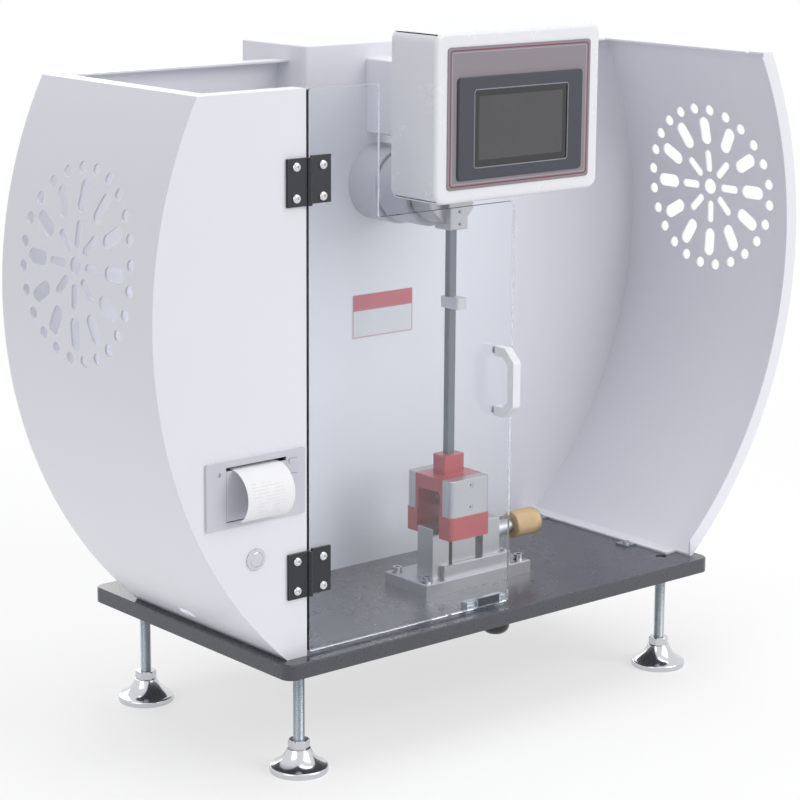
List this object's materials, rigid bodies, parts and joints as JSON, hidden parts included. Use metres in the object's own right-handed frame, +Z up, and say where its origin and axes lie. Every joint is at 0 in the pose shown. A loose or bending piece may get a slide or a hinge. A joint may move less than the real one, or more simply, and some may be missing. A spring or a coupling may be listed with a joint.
{
  "type": "pendulum impact tester",
  "caption": "Bench-top pendulum impact tester with bulging open-topped guard shells, clear door, swinging hammer over a clamping vise, display console and levelling feet.",
  "frame": {"origin": "on the floor under the middle of the overall box", "axes": "+X to the right along the front, +Y to the back, +Z up; the pendulum swings about Y"},
  "size_m": [0.886, 0.361, 0.734],
  "materials": {
    "white_paint": "satin white powder coat",
    "dark_paint": "dark grey hammered paint",
    "red_paint": "semi-gloss red enamel",
    "machined_steel": "ground and fine-milled",
    "rod_steel": "blackened flat bar",
    "chrome": "bright plating",
    "zinc": "bright zinc plate",
    "grey_housing": "light grey enamel",
    "brass_knob": "satin tan-coloured knob",
    "black_hinge": "black satin",
    "clear_sheet": "clear acrylic sheet",
    "white_plastic": "smooth white moulding",
    "label_film": "grey printed film with plain border lines",
    "bezel_plastic": "fine-textured dark grey",
    "screen": "dark display behind a clear cover",
    "printer_plastic": "light grey moulding",
    "paper": "thermal paper",
    "rubber": "black rubber",
    "aluminium": "anodised",
    "black_plastic": "black moulding",
    "card": "plain card"
  },
  "bodies": {
    "frame": {"base_plate": "dark_paint", "stud_nuts": "zinc", "plate_bumper": "rubber", "column_housing": "white_paint", "column_cap": "white_paint", "rear_cover": "white_paint", "cover_screws": "chrome", "power_inlet": "black_plastic", "power_supply": "aluminium", "column_card": "card", "bearing_housing": "grey_housing", "ball_bearings": "chrome", "angle_encoder": "aluminium", "vise_base": "machined_steel", "vise_screws": "chrome", "vise_guide": "machined_steel", "fixed_jaw": "machined_steel", "screw_block": "machined_steel", "left_shell": "white_paint", "right_shell": "white_paint", "shell_brackets": "zinc", "printer_body": "printer_plastic", "paper_roll": "paper", "button_bezel": "chrome", "frame_hinges": "black_hinge", "frame_screws": "chrome", "door_catch": "zinc", "console_arm": "white_paint", "console_housing": "white_plastic", "console_back_cover": "white_plastic", "face_plate": "label_film", "screen_bezel": "bezel_plastic", "screen_glass": "screen", "display_module": "black_plastic"},
    "pendulum": {"pendulum_shaft": "machined_steel", "pendulum_hub": "machined_steel", "pendulum_screws": "zinc", "pendulum_rod": "rod_steel", "latch_collar": "aluminium", "hammer_body": "red_paint", "front_cheek": "machined_steel", "rear_cheek": "machined_steel", "striker": "machined_steel"},
    "door": {"guard_door": "clear_sheet", "door_hinges": "black_hinge", "door_screws": "chrome", "door_handle": "white_plastic", "catch_keeper": "zinc"},
    "screw": {"clamp_screw": "machined_steel", "clamp_knob": "brass_knob"},
    "jaw": {"moving_jaw": "machined_steel"},
    "start_button": {"power_button": "chrome"},
    "feed_key": {"feed_button": "printer_plastic"},
    "select_key": {"select_button": "printer_plastic"},
    "paper_cover": {"printer_cover": "printer_plastic", "paper_strip": "paper"},
    "foot_fl": {"foot_front_left": "chrome"},
    "foot_bl": {"foot_back_left": "chrome"},
    "foot_fr": {"foot_front_right": "chrome"},
    "foot_br": {"foot_back_right": "chrome"}
  },
  "joints": [
    {"name": "pendulum_swing", "type": "hinge", "parent": "frame", "child": "pendulum", "pos_m": [0, -0.0585, 0.555], "axis": [0, 1, 0], "range_deg": [-150, 150]},
    {"name": "door_swing", "type": "hinge", "parent": "frame", "child": "door", "pos_m": [-0.2625, -0.1545, 0.213], "axis": [0, 0, -1], "range_deg": [0, 110]},
    {"name": "screw_turn", "type": "hinge", "parent": "frame", "child": "screw", "pos_m": [0.092, -0.0585, 0.178], "axis": [-1, 0, 0], "range_deg": [-1350, 720]},
    {"name": "jaw_slide", "type": "slide", "parent": "frame", "child": "jaw", "axis": [-1, 0, 0], "range_m": [-0.00751, 0.00401]},
    {"name": "start_button_press", "type": "slide", "parent": "frame", "child": "start_button", "axis": [0, 1, 0], "range_m": [0, 0.003], "stiffness_N_per_m": 400},
    {"name": "feed_key_press", "type": "slide", "parent": "frame", "child": "feed_key", "axis": [0, 1, 0], "range_m": [0, 0.0012], "stiffness_N_per_m": 300},
    {"name": "select_key_press", "type": "slide", "parent": "frame", "child": "select_key", "axis": [0, 1, 0], "range_m": [0, 0.0012], "stiffness_N_per_m": 300},
    {"name": "paper_cover_hinge", "type": "hinge", "parent": "frame", "child": "paper_cover", "pos_m": [-0.327, -0.1527, 0.284], "axis": [1, 0, 0], "range_deg": [0, 45]},
    {"name": "foot_fl_height", "type": "slide", "parent": "frame", "child": "foot_fl", "axis": [0, 0, -1], "range_m": [0, 0.01]},
    {"name": "foot_bl_height", "type": "slide", "parent": "frame", "child": "foot_bl", "axis": [0, 0, -1], "range_m": [0, 0.01]},
    {"name": "foot_fr_height", "type": "slide", "parent": "frame", "child": "foot_fr", "axis": [0, 0, -1], "range_m": [0, 0.01]},
    {"name": "foot_br_height", "type": "slide", "parent": "frame", "child": "foot_br", "axis": [0, 0, -1], "range_m": [0, 0.01]}
  ],
  "couplings": [
    {"joint": "jaw_slide", "follows": "screw_turn", "m_per_rad": 0.00031831}
  ]
}
